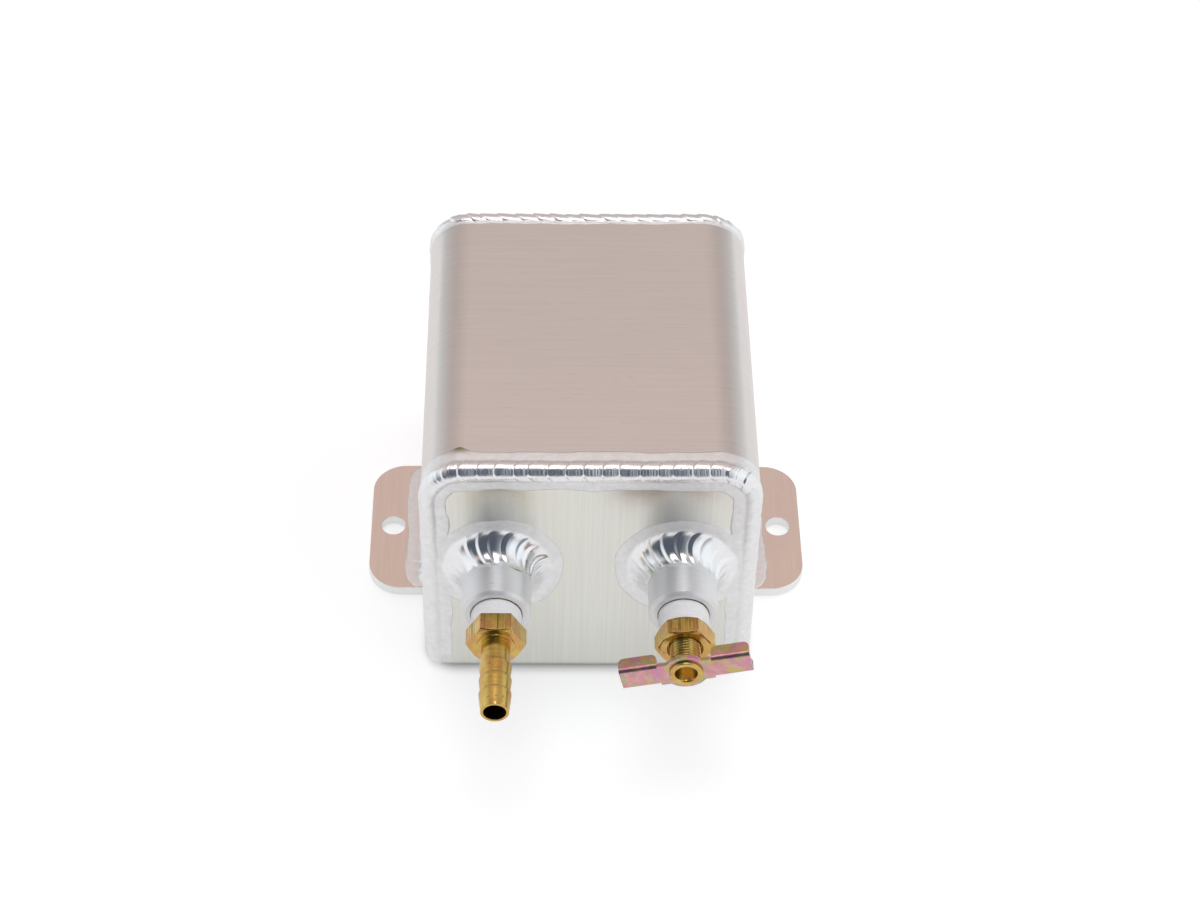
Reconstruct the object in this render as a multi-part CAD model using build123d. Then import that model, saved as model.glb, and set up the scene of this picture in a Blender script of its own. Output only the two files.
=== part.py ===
from build123d import *

import math
import os

# All sizes are in millimetres. The tank lies on its back: X runs across it, +Y runs from the
# end with the two fittings to the plain end, and +Z comes out of the front face. The origin is
# on the back plane, midway between the two mounting holes.

# Tank box, folded from two sheets and welded along every open edge.
tank_width = 92.5
tank_depth = 83.0
tank_length = 104.5
wall = 2.0
front_bend_radius = 12.0
back_fold_radius = 2.5
fold_inside_minimum = 0.2

# Weld beads along the ends: each sheet stops this far short of the outside corner, and the
# bead bridges the two edges in a row of overlapping ripples. A ripple rises over its lip and
# falls away slowly behind it. The arch of every bead is made of a few straight steps.
seam_leg = 4.0
seam_ripple_pitch = 4.9
seam_ripple_lip = 1.5
seam_ripple_depth = 0.5
seam_crown_inset = 0.35
bead_arch_steps = 4
seam_foot_radius = 5.0
seam_fold_relief = 1.0

# Weld bungs in the lower end, bored with a taper for the pipe threads.
bung_diameter = 19.05
bung_projection = 17.7
bung_edge_distance = 20.65
bung_height = 44.5
bung_hole_clearance = 0.05
bung_rim_chamfer = 0.9
bung_mouth_chamfer = 0.6
bung_weld_reach = 6.0
bung_weld_rise = 7.2
bung_weld_hollow = 0.8
bung_weld_ripples = 24
bung_weld_ripple_depth = 0.4

# Mounting tabs, flush with the back, with one bolt hole each.
tab_thickness = 3.2
tab_length = 49.6
tab_projection = 18.5
tab_corner_radius = 10.0
tab_hole_diameter = 7.1
tab_hole_edge = 6.7
tab_weld_leg = 3.6
tab_weld_crown = 0.5
tab_weld_ripple_pitch = 4.6
tab_weld_ripple_depth = 0.4
tab_weld_end_gap = 3.0

# Taper pipe thread shared by both fittings, modelled as its crest cone.
thread_diameter = 13.7
thread_taper = 1 / 16
thread_length = 14.0
thread_clearance = 0.02
thread_lead_chamfer = 0.8
tape_thickness = 0.2

# Both hexagons are turned off at this angle, down to a round face a little inside the flats.
hex_chamfer_angle = 30.0
hex_face_inset = 0.3

# Hose barb, turned from hexagon bar.
barb_hex_flats = 14.3
barb_hex_length = 5.8
barb_hex_chamfer = 1.1
barb_tape_gap = 5.2
barb_reach = 51.3
barb_bore = 6.2
barb_crest_diameter = 8.9
barb_root_diameter = 8.0
barb_tip_diameter = 7.7
barb_tip_ramp = 5.6
barb_pitch = 4.7
barb_count = 3
barb_crest_land = 0.5
barb_collar_diameter = 10.6
barb_collar_height = 0.4

# Drain petcock: a hexagon body with a screwed hollow stem that shuts on a cone seat.
petcock_hex_flats = 14.3
petcock_hex_length = 5.6
petcock_hex_chamfer = 1.2
petcock_hex_clocking = 6.0
petcock_tape_gap = 6.2
mouth_diameter = 9.9
mouth_depth = 2.2
stem_diameter = 8.5
stem_bore = 6.0
stem_running_clearance = 0.05
stem_reach = 38.3
chamber_diameter = 9.6
chamber_length = 4.6
inlet_bore = 4.2
seat_rim = 1.8
stem_neck_diameter = 7.0
stem_tip_diameter = 3.4
stem_gallery_bore = 3.0
cross_hole_diameter = 2.4
seat_clearance = 0.05

# Wing handle, stamped from sheet and held by the flared end of the stem.
handle_sheet = 1.1
handle_half_span = 17.8
handle_height = 7.9
handle_hub_diameter = 12.3
handle_flange_depth = 4.5
handle_flange_start = 7.4
handle_bend_radius = 1.4
handle_flange_corner = 1.6
handle_rest_angle = 13.0
handle_hole_clearance = 0.05
spigot_diameter = 7.2
flare_diameter = 9.2
flare_thickness = 0.8
flare_chamfer = 0.3

# Values worked out from the sizes above.
half_width = tank_width / 2
half_length = tank_length / 2
petcock_x = half_width - bung_edge_distance
barb_x = -petcock_x
bung_radius = bung_diameter / 2


def out(distance):
    """Y of a point that stands this far out from the lower end plate."""
    return -half_length - distance


def turned(outline, x):
    """Revolve an outline of (radius, y) points about the axis of the bung at this x."""
    profile = make_face(Polyline(*outline, close=True))
    return Pos(x, 0, bung_height) * revolve(profile, Axis.Y)


def along_axis(x, y):
    """Plane square to a bung's axis, with local x across and local y up."""
    return Plane(origin=(x, y, bung_height), x_dir=(1, 0, 0), z_dir=(0, -1, 0))


def hex_prism(x, y_back, flats, length, clocking):
    """Hexagon bar that starts at y_back and runs outwards from the tank."""
    outline = Rot(0, 0, clocking) * RegularPolygon(flats / 2, 6, major_radius=False)
    return extrude(along_axis(x, y_back) * outline, amount=length)


def thread_radius(distance):
    """Crest radius of the pipe thread this far in from its large end."""
    return thread_diameter / 2 - distance * thread_taper / 2


def arched_face(toe_a, crown, toe_b, *inner):
    """Closed section with one arched side through the crown and straight inner sides."""
    arch = ThreePointArc(toe_a, crown, toe_b)
    steps = [arch @ (step / bead_arch_steps) for step in range(bead_arch_steps + 1)]
    return make_face(Polyline(*steps, *inner, close=True))


def make_front_shell():
    """Front face and both sides, bent from one sheet."""
    half_run = half_length - seam_leg
    height = tank_depth - wall
    middle = wall + height / 2
    outer = Pos(0, middle) * Rectangle(tank_width, height)
    outer = fillet(outer.vertices().group_by(Axis.Y)[-1], front_bend_radius)
    inner = Pos(0, middle - wall) * Rectangle(tank_width - 2 * wall, height)
    inner = fillet(inner.vertices().group_by(Axis.Y)[-1], front_bend_radius - wall)
    return extrude(Plane.XZ * (outer - inner), amount=half_run, both=True)


def make_back_channel():
    """Back and both ends, folded from one sheet, with the two bung holes."""
    end_height = tank_depth - seam_leg
    outer = Pos(0, end_height / 2) * Rectangle(tank_length, end_height)
    outer = fillet(outer.vertices().group_by(Axis.Y)[0], back_fold_radius)
    inner = Pos(0, end_height / 2 + wall) * Rectangle(tank_length - 2 * wall, end_height)
    inner = fillet(inner.vertices().group_by(Axis.Y)[0], max(back_fold_radius - wall, fold_inside_minimum))
    channel = extrude(Plane.YZ * (outer - inner), amount=half_width, both=True)
    end_outline = Pos(0, end_height / 2) * Rectangle(tank_width - 2 * seam_leg, end_height)
    end_outline = fillet(end_outline.vertices().group_by(Axis.Y)[-1], front_bend_radius - seam_leg)
    channel = channel & extrude(Plane.XZ * end_outline, amount=tank_length, both=True)
    back_margin = Pos(0, 0, wall / 2) * Box(tank_width - 2 * wall, tank_length - 2 * seam_leg, wall)
    channel = channel + back_margin
    for x in (barb_x, petcock_x):
        hole = Circle(bung_radius + bung_hole_clearance)
        channel -= extrude(along_axis(x, out(0)) * hole, amount=2 * wall, both=True)
    return channel


def seam_stations():
    """Points along the end's outside corner with their outward directions, two to a ripple."""
    side = tank_depth - front_bend_radius
    arc = front_bend_radius * math.pi / 2
    top = tank_width - 2 * front_bend_radius
    total = 2 * side + 2 * arc + top
    count = round(total / seam_ripple_pitch)
    centre_x = half_width - front_bend_radius
    places = [(total, False)]
    for index in range(count):
        start = total * index / count
        places += [(start, False), (start + seam_ripple_lip, True)]
    stations = []
    for s, on_crest in sorted(places):
        sign = -1 if s < total / 2 else 1
        s = min(s, total - s)
        if s <= side:
            angle, x, z = 0.0, half_width, s
        elif s <= side + arc:
            angle = (s - side) / front_bend_radius
            x = centre_x + front_bend_radius * math.cos(angle)
            z = side + front_bend_radius * math.sin(angle)
        else:
            angle, x, z = math.pi / 2, centre_x - (s - side - arc), tank_depth
        outward = Vector(sign * math.cos(angle), 0, math.sin(angle))
        stations.append((Vector(sign * x, 0, z), outward, on_crest))
    return stations


def make_end_weld(end_sign, sheets):
    """Rippled bead over the front edge and down both sides of one end."""
    end_normal = Vector(0, end_sign, 0)
    sections = []
    for corner, outward, on_crest in seam_stations():
        corner = corner + end_normal * half_length
        crown = -seam_crown_inset if on_crest else -seam_crown_inset - seam_ripple_depth
        offsets = [
            (0, -seam_leg), (crown, crown), (-seam_leg, 0),
            (-seam_leg, -wall), (-wall, -wall), (-wall, -seam_leg),
        ]
        sections.append(arched_face(*[corner + outward * u + end_normal * v for u, v in offsets]))
    bead = loft(sections, ruled=True)
    plug = Box(seam_leg, seam_leg, wall)
    for x in (-1, 1):
        place = (x * (half_width - seam_leg / 2), end_sign * (half_length - seam_leg / 2), wall / 2)
        bead += Pos(*place) * plug
    bead = bead & weld_envelope()
    for sheet in sheets:
        bead -= sheet
    return bead


def weld_envelope():
    """Space that the end beads keep within: rounded where they run out at the back."""
    across = tank_width + 2 * seam_fold_relief
    along = tank_length + 2 * seam_fold_relief
    height = tank_depth + seam_leg
    front = Pos(0, height / 2) * Rectangle(across, height)
    front = fillet(front.vertices().group_by(Axis.Y)[0], seam_foot_radius)
    side = Pos(0, height / 2) * Rectangle(along, height)
    side = fillet(side.vertices().group_by(Axis.Y)[0], back_fold_radius + seam_fold_relief)
    front_space = extrude(Plane.XZ * front, amount=tank_length, both=True)
    side_space = extrude(Plane.YZ * side, amount=tank_width, both=True)
    return front_space & side_space


def make_long_weld(side_sign):
    """Dressed corner bead between a side of the front shell and the back."""
    corner = Pos(half_width - wall, wall) * Circle(wall)
    quarter = corner & Pos(half_width - wall / 2, wall / 2) * Rectangle(wall, wall)
    bead = extrude(Plane.XZ * quarter, amount=half_length - seam_leg, both=True)
    return bead if side_sign > 0 else mirror(bead, Plane.YZ)


def make_bung(x):
    """Turned bung with a chamfered rim and a bore that matches the taper thread."""
    front = out(bung_projection)
    back = out(-wall)
    gap = barb_tape_gap if x == barb_x else petcock_tape_gap
    mouth = thread_radius(gap) + thread_clearance
    slope = thread_taper / 2
    bore_length = bung_projection + wall
    outline = [
        (mouth + bung_mouth_chamfer, front),
        (bung_radius - bung_rim_chamfer, front),
        (bung_radius, front + bung_rim_chamfer),
        (bung_radius, back),
        (mouth - slope * bore_length, back),
        (mouth - slope * bung_mouth_chamfer, front + bung_mouth_chamfer),
    ]
    return turned(outline, x)


def make_bung_weld(x, bung):
    """Hollow rippled fillet weld round the root of a bung."""
    root = Vector(x, out(0), bung_height)
    outward = Vector(0, -1, 0)
    count = 2 * bung_weld_ripples
    halves = []
    for first in (0, count // 2):
        sections = []
        for index in range(first, first + count // 2 + 1):
            angle = 2 * math.pi * index / count
            radial = Vector(math.cos(angle), 0, math.sin(angle))
            sink = bung_weld_hollow if index % 2 else bung_weld_hollow + bung_weld_ripple_depth
            middle = (bung_weld_reach / 2 - sink, bung_weld_rise / 2 - sink)
            offsets = [(bung_weld_reach, 0), middle, (0, bung_weld_rise), (0, 0)]
            sections.append(
                arched_face(*[root + radial * (bung_radius + r) + outward * a for r, a in offsets])
            )
        halves.append(loft(sections, ruled=True))
    return halves[0] + halves[1] - bung


def make_tab(side_sign):
    """Mounting tab with rounded outer corners and a bolt hole at mid length."""
    outline = Pos(half_width + tab_projection / 2, 0) * Rectangle(tab_projection, tab_length)
    outline = fillet(outline.vertices().group_by(Axis.X)[-1], tab_corner_radius)
    hole_x = half_width + tab_projection - tab_hole_edge
    outline -= Pos(hole_x, 0) * Circle(tab_hole_diameter / 2)
    tab = extrude(outline, amount=tab_thickness)
    return tab if side_sign > 0 else mirror(tab, Plane.YZ)


def make_tab_weld(side_sign):
    """Rippled fillet between the top of a tab and the side of the tank."""
    run = tab_length - 2 * tab_weld_end_gap
    count = 2 * round(run / tab_weld_ripple_pitch)
    sections = []
    for index in range(count + 1):
        y = run * (index / count - 0.5)
        lift = tab_weld_crown if index % 2 else tab_weld_crown - tab_weld_ripple_depth
        middle = tab_weld_leg / 2 + lift
        sections.append(
            arched_face(
                Vector(half_width + tab_weld_leg, y, tab_thickness),
                Vector(half_width + middle, y, tab_thickness + middle),
                Vector(half_width, y, tab_thickness + tab_weld_leg),
                Vector(half_width, y, tab_thickness),
            )
        )
    bead = loft(sections, ruled=True)
    return bead if side_sign > 0 else mirror(bead, Plane.YZ)


def thread_outline(hex_back):
    """Taper thread's crest line from the hexagon inwards, as (radius, y) points."""
    end = thread_length - thread_lead_chamfer
    return [
        (thread_radius(0), out(hex_back)),
        (thread_radius(end), out(hex_back - end)),
        (thread_radius(end) - thread_lead_chamfer, out(hex_back - thread_length)),
    ]


def chamfered_hex(x, hex_back, flats, length, chamfer, clocking, both_ends):
    """Hexagon whose corners are turned off at its outer end, or at both ends."""
    prism = hex_prism(x, out(hex_back), flats, length, clocking)
    face_radius = flats / 2 - hex_face_inset
    corner_radius = face_radius + chamfer / math.tan(math.radians(hex_chamfer_angle))
    back_radius = face_radius if both_ends else corner_radius
    turning = [
        (0, out(hex_back)),
        (back_radius, out(hex_back)),
        (corner_radius, out(hex_back + chamfer)),
        (corner_radius, out(hex_back + length - chamfer)),
        (face_radius, out(hex_back + length)),
        (0, out(hex_back + length)),
    ]
    return prism & turned(turning, x)


def make_hose_barb():
    """One turned piece: taper thread, hexagon, collar and a ribbed hose tail."""
    hex_back = bung_projection + barb_tape_gap
    hex_front = hex_back + barb_hex_length
    inner = hex_back - thread_length
    crest = barb_crest_diameter / 2
    root = barb_root_diameter / 2
    outline = [(0, out(barb_reach)), (barb_tip_diameter / 2, out(barb_reach))]
    for rib in range(barb_count):
        rib_front = barb_reach - barb_tip_ramp - rib * barb_pitch
        outline += [(crest, out(rib_front)), (crest, out(rib_front - barb_crest_land))]
        outline += [(root, out(rib_front - barb_crest_land))]
    collar = barb_collar_diameter / 2
    outline += [
        (root, out(hex_front + barb_collar_height)),
        (collar, out(hex_front + barb_collar_height)),
        (collar, out(hex_back)),
    ]
    outline += thread_outline(hex_back)
    outline += [(0, out(inner))]
    body = turned(outline, barb_x)
    body += chamfered_hex(
        barb_x, hex_back, barb_hex_flats, barb_hex_length, barb_hex_chamfer, 0, both_ends=False
    )
    bore = extrude(along_axis(barb_x, out(inner)) * Circle(barb_bore / 2), amount=barb_reach - inner)
    return body - bore


def make_tape(x, gap):
    """Thread tape that shows between a bung and the hexagon of its fitting."""
    inner_big = thread_radius(0) + thread_clearance
    inner_small = thread_radius(gap) + thread_clearance
    outline = [
        (inner_big, out(bung_projection + gap)),
        (inner_big + tape_thickness, out(bung_projection + gap)),
        (inner_small + tape_thickness, out(bung_projection)),
        (inner_small, out(bung_projection)),
    ]
    return turned(outline, x)


def petcock_levels():
    """Distances out from the end plate where the petcock's bore changes."""
    hex_back = bung_projection + petcock_tape_gap
    front = hex_back + petcock_hex_length
    inner = hex_back - thread_length
    seat_small = inner + seat_rim
    seat_big = seat_small + (chamber_diameter - inlet_bore) / 2
    chamber_front = seat_big + chamber_length
    return hex_back, front, inner, seat_small, seat_big, chamber_front


def make_petcock_body():
    """Hexagon body with a screwed bore, a wider valve chamber and a cone seat."""
    hex_back, front, inner, seat_small, seat_big, chamber_front = petcock_levels()
    thread = thread_outline(hex_back)
    body = turned([(0, out(hex_back))] + thread + [(0, out(inner))], petcock_x)
    body += chamfered_hex(
        petcock_x, hex_back, petcock_hex_flats, petcock_hex_length, petcock_hex_chamfer,
        petcock_hex_clocking, both_ends=True,
    )
    running = stem_diameter / 2 + stem_running_clearance
    passage = [
        (0, out(front)),
        (mouth_diameter / 2, out(front)),
        (mouth_diameter / 2, out(front - mouth_depth)),
        (running, out(front - mouth_depth)),
        (running, out(chamber_front)),
        (chamber_diameter / 2, out(chamber_front)),
        (chamber_diameter / 2, out(seat_big)),
        (inlet_bore / 2, out(seat_small)),
        (inlet_bore / 2, out(inner)),
        (0, out(inner)),
    ]
    return body - turned(passage, petcock_x)


def make_petcock_stem():
    """Hollow screwed stem with a cone tip, cross hole and flared outer end."""
    seat_small, seat_big, chamber_front = petcock_levels()[3:]
    neck = stem_neck_diameter / 2
    tip = stem_tip_diameter / 2
    seat_radius = inlet_bore / 2
    tip_end = seat_small + (tip - seat_radius) + seat_clearance
    cone_start = seat_small + (neck - seat_radius) + seat_clearance
    flare_back = stem_reach - flare_thickness
    shoulder = flare_back - handle_sheet - 2 * handle_hole_clearance
    gallery_front = chamber_front + stem_gallery_bore
    outline = [
        (stem_bore / 2 + flare_chamfer, out(stem_reach)),
        (flare_diameter / 2 - flare_chamfer, out(stem_reach)),
        (flare_diameter / 2, out(stem_reach - flare_chamfer)),
        (flare_diameter / 2, out(flare_back)),
        (spigot_diameter / 2, out(flare_back)),
        (spigot_diameter / 2, out(shoulder)),
        (stem_diameter / 2, out(shoulder)),
        (stem_diameter / 2, out(chamber_front)),
        (neck, out(chamber_front)),
        (neck, out(cone_start)),
        (tip, out(tip_end)),
        (0, out(tip_end)),
        (0, out(cone_start)),
        (stem_gallery_bore / 2, out(cone_start)),
        (stem_gallery_bore / 2, out(gallery_front)),
        (stem_bore / 2, out(gallery_front + (stem_bore - stem_gallery_bore) / 2)),
        (stem_bore / 2, out(stem_reach - flare_chamfer)),
    ]
    stem = turned(outline, petcock_x)
    cross_y = out((chamber_front + cone_start) / 2)
    cross = Cylinder(cross_hole_diameter / 2, stem_diameter)
    return stem - Pos(petcock_x, cross_y, bung_height) * cross


def make_wing_handle():
    """Stamped strip with a round hub and wings whose edges are folded back."""
    height = handle_height
    depth = handle_flange_depth
    strip = Rectangle(2 * handle_flange_start, height) + Circle(handle_hub_diameter / 2)
    handle = extrude(Plane.XZ * strip, amount=-handle_sheet)
    wing_length = handle_half_span - handle_flange_start
    section = Pos(depth / 2, 0) * Rectangle(depth, height)
    section = fillet(section.vertices().group_by(Axis.X)[0], handle_bend_radius)
    hollow = Pos(depth / 2 + handle_sheet, 0) * Rectangle(depth, height - 2 * handle_sheet)
    hollow = fillet(hollow.vertices().group_by(Axis.X)[0], handle_bend_radius - handle_sheet)
    channel = extrude(Plane.YZ * (section - hollow), amount=wing_length)
    plan = Pos(wing_length / 2, depth / 2) * Rectangle(wing_length, depth)
    plan = fillet(plan.vertices().group_by(Axis.Y)[-1], handle_flange_corner)
    wing = channel & extrude(plan, amount=height, both=True)
    wing = Pos(handle_flange_start, 0, 0) * wing
    handle += [wing, mirror(wing, Plane.YZ)]
    hole = Circle(spigot_diameter / 2 + handle_hole_clearance)
    handle -= extrude(Plane.XZ * hole, amount=2 * handle_sheet, both=True)
    front_y = out(stem_reach - flare_thickness - handle_hole_clearance)
    return Pos(petcock_x, front_y, bung_height) * Rot(0, -handle_rest_angle, 0) * handle


def make_parts():
    """Every piece of the tank, by the name of its node."""
    front_shell = make_front_shell()
    back_channel = make_back_channel()
    sheets = (front_shell, back_channel)
    inlet_bung = make_bung(barb_x)
    drain_bung = make_bung(petcock_x)
    return {
        "front_shell": front_shell,
        "back_channel": back_channel,
        "port_end_weld": make_end_weld(-1, sheets),
        "plain_end_weld": make_end_weld(1, sheets),
        "left_long_weld": make_long_weld(-1),
        "right_long_weld": make_long_weld(1),
        "inlet_bung": inlet_bung,
        "drain_bung": drain_bung,
        "inlet_bung_weld": make_bung_weld(barb_x, inlet_bung),
        "drain_bung_weld": make_bung_weld(petcock_x, drain_bung),
        "left_mount_tab": make_tab(-1),
        "right_mount_tab": make_tab(1),
        "left_tab_weld": make_tab_weld(-1),
        "right_tab_weld": make_tab_weld(1),
        "hose_barb": make_hose_barb(),
        "barb_thread_tape": make_tape(barb_x, barb_tape_gap),
        "petcock_body": make_petcock_body(),
        "petcock_thread_tape": make_tape(petcock_x, petcock_tape_gap),
        "petcock_stem": make_petcock_stem(),
        "wing_handle": make_wing_handle(),
    }


os.makedirs("parts", exist_ok=True)
for node, shape in make_parts().items():
    export_step(shape, f"parts/{node}.step")
    print(f"{node}: {len(shape.solids())} solid, {shape.volume:.0f} mm3")
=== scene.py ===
# %% [markdown]
# # A welded expansion tank, dressed in Blender
# The tank is two folded aluminium sheets joined by rippled weld beads, with two turned bungs, a brass
# hose barb, a brass petcock and two mounting tabs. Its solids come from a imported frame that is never
# moved. This lesson adds the camera, the light, the finishes and the finer meshes that show the metal.

# %% Load the frame
import math

import bmesh
import bpy
import numpy as np
from mathutils import Matrix, Vector


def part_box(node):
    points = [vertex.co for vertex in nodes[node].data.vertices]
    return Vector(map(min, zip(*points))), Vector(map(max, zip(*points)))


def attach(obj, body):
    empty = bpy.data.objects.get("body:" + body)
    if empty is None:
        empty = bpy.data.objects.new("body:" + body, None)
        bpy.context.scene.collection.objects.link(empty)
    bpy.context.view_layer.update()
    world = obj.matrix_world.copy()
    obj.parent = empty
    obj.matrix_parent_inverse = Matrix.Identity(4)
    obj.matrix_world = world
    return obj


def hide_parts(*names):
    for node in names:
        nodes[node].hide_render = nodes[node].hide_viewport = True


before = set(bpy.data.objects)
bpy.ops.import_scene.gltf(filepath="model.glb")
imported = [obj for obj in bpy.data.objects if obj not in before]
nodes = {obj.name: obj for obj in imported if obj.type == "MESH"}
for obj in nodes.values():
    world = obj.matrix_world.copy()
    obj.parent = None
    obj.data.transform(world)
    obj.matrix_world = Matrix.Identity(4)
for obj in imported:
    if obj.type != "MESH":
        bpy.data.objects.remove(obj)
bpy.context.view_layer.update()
scene = bpy.context.scene
scene.view_settings.view_transform = "Standard"

# %% [markdown]
# ## Sizes that every later step shares
# Blender works in metres. The main sizes are read from the boxes of the frame's own nodes, so a tank of
# another size is dressed by the same code.

# %% Read the main sizes
MM = 0.001

shell_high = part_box("front_shell")[1]
channel_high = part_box("back_channel")[1]
inlet_low, inlet_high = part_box("inlet_bung")
drain_low, drain_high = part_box("drain_bung")
half_width = shell_high.x
tank_depth = shell_high.z
half_length = channel_high.y
inlet_x = (inlet_low.x + inlet_high.x) / 2
drain_x = (drain_low.x + drain_high.x) / 2
bung_height = (inlet_low.z + inlet_high.z) / 2
bung_radius = (inlet_high.x - inlet_low.x) / 2
front_bend_radius = 12.0 * MM
print(f"tank {2000 * half_width:.1f} x {2000 * half_length:.1f} x {1000 * tank_depth:.1f} mm")

# %% [markdown]
# ## Camera
# The picture was taken from in front and above with a long lens. A fit of the tank's edges gave the
# place, the tilt and the focal length in pixels. The lens axis missed the middle of the cropped
# picture a little, and the camera's shift says by how much.

# %% Set the camera
image_width = 1200
image_height = 900
focal_pixels = 2678.1
axis_pixel_x = 549.0
axis_pixel_y = 448.1
camera_place = Vector((-13.5, -541.34, 606.58)) * MM
look_down = math.radians(46.44)
look_right = math.radians(0.242)
camera_roll = math.radians(0.363)

camera_data = bpy.data.cameras.new("studio_camera")
camera_data.lens = focal_pixels * camera_data.sensor_width / image_width
camera_data.shift_x = (image_width / 2 - axis_pixel_x) / image_width
camera_data.shift_y = (axis_pixel_y - image_height / 2) / image_width
camera = bpy.data.objects.new("studio_camera", camera_data)
scene.collection.objects.link(camera)
turn = Matrix.Rotation(-look_right, 4, "Z") @ Matrix.Rotation(math.pi / 2 - look_down, 4, "X")
camera.matrix_world = Matrix.Translation(camera_place) @ turn @ Matrix.Rotation(camera_roll, 4, "Z")
scene.camera = camera
print(f"lens {camera_data.lens:.1f} mm, shift {camera_data.shift_x:.4f}, {camera_data.shift_y:.4f}")

# %% [markdown]
# ## Small helpers for node trees
# Shader graphs are easier to read when a node, its settings and its wires are one line. `add` makes a
# node and fills its sockets: a socket given as a value is wired, and anything else is set on it.


# %% Write the node helpers
def add(tree, kind, inputs=(), **settings):
    """Make a shader node, set its properties, and wire or fill its inputs."""
    made = tree.nodes.new("ShaderNode" + kind)
    for name, value in settings.items():
        setattr(made, name, value)
    for socket, value in dict(inputs).items():
        if isinstance(value, bpy.types.NodeSocket):
            tree.links.new(value, made.inputs[socket])
        else:
            made.inputs[socket].default_value = value
    return made


def calc(tree, operation, *values):
    """One Math node on up to three values."""
    return add(tree, "Math", enumerate(values), operation=operation).outputs[0]


def vector_calc(tree, operation, *values):
    """One Vector Math node, giving a vector."""
    return add(tree, "VectorMath", enumerate(values), operation=operation).outputs[0]


def soft_step(tree, value, low, high):
    """0 below low, 1 above high and a smooth rise between them."""
    inputs = {"Value": value, "From Min": low, "From Max": high}
    return add(tree, "MapRange", inputs, interpolation_type="SMOOTHSTEP").outputs[0]


def remap(tree, value, low, high):
    """Spread a 0 to 1 value over another range."""
    return add(tree, "MapRange", {"Value": value, "To Min": low, "To Max": high}).outputs[0]


def mix(tree, factor, first, second, blend="MIX"):
    """Mix two colours."""
    inputs = {0: factor, 6: first, 7: second}
    return add(tree, "Mix", inputs, data_type="RGBA", blend_type=blend).outputs[2]


def rgb(red, green, blue):
    """A linear colour with full alpha."""
    return (red, green, blue, 1.0)


print("node helpers: add, calc, vector_calc, soft_step, remap, mix, rgb")


# %% [markdown]
# ## The studio around the tank
# Bare metal shows its surroundings, so the world is part of the finish. Here the sky of the studio is
# drawn by direction: a bright soft box overhead, pale walls left and right, a warm wall behind, and the
# dark of the room behind the camera. Rays from the camera itself see plain white.

# %% Paint the studio
overhead_light = rgb(3.7, 3.8, 3.9)
side_wall = rgb(1.02, 1.06, 1.09)
grey_wall = rgb(0.60, 0.535, 0.515)
pink_wall = rgb(0.69, 0.525, 0.465)
far_corner = rgb(0.34, 0.34, 0.33)
room_dark = rgb(0.095, 0.11, 0.14)
below_floor = rgb(0.95, 0.95, 0.95)
lean = 0.22
dark_centre = -0.18
corner_rise = (0.05, 0.40)
pink_rise = (0.60, 0.80)
side_turn = (0.52, 0.90)
dark_edge = (0.38, 0.80)
front_turn = (0.15, -0.30)
overhead_edge = (0.92, 0.985)
floor_line = (0.02, -0.06)

world = bpy.data.worlds.new("studio")
scene.world = world
world.use_nodes = True
sky = world.node_tree
sky.nodes.clear()
direction = add(sky, "TexCoord").outputs["Generated"]
heading = add(sky, "SeparateXYZ", {0: direction})
sideways = calc(sky, "ABSOLUTE", heading.outputs["X"])
forward = heading.outputs["Y"]
upward = heading.outputs["Z"]
behind = mix(sky, soft_step(sky, upward, *corner_rise), far_corner, grey_wall)
behind = mix(sky, soft_step(sky, upward, *pink_rise), behind, pink_wall)
behind = mix(sky, soft_step(sky, sideways, *side_turn), behind, side_wall)
off_dark = calc(sky, "ABSOLUTE", calc(sky, "SUBTRACT", heading.outputs["X"], dark_centre))
ahead = mix(sky, soft_step(sky, off_dark, *dark_edge), room_dark, side_wall)
ring = mix(sky, soft_step(sky, forward, *front_turn), behind, ahead)
ahead_part = calc(sky, "MINIMUM", forward, 0.0)
overhead = soft_step(sky, calc(sky, "MULTIPLY_ADD", ahead_part, lean, upward), *overhead_edge)
dome = mix(sky, overhead, ring, overhead_light)
dome = mix(sky, soft_step(sky, upward, *floor_line), dome, below_floor)
seen_by_camera = add(sky, "LightPath").outputs["Is Camera Ray"]
shown = mix(sky, seen_by_camera, dome, rgb(1, 1, 1))
surround = add(sky, "Background", {"Color": shown, "Strength": 1.0})
add(sky, "OutputWorld", {"Surface": surround.outputs[0]})
print("studio painted with", len(sky.nodes), "nodes")

# %% [markdown]
# ## Floor
# The tank lies on a white table. A plain white floor would photograph grey, so the part of it that the
# camera or a mirror sees glows a little: the bright floor then reaches white, and the shadow under the
# tank still shows. Round the tank's outline the glow fades out, which paints a band of shade at its foot.
# From below, and under the tank itself, the floor is clear, so that the tank's back can be looked at as well.

# %% Lay the floor
floor_reach = 3.0
floor_gap = 0.2 * MM
floor_colour = rgb(0.58, 0.58, 0.58)
floor_glow = 0.62
mirrored_glow = 0.52
shade_inside = 3.5 * MM
shade_outside = 3.5 * MM
shade_corner = 9.0 * MM
window_inset = 2.5 * MM

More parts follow.
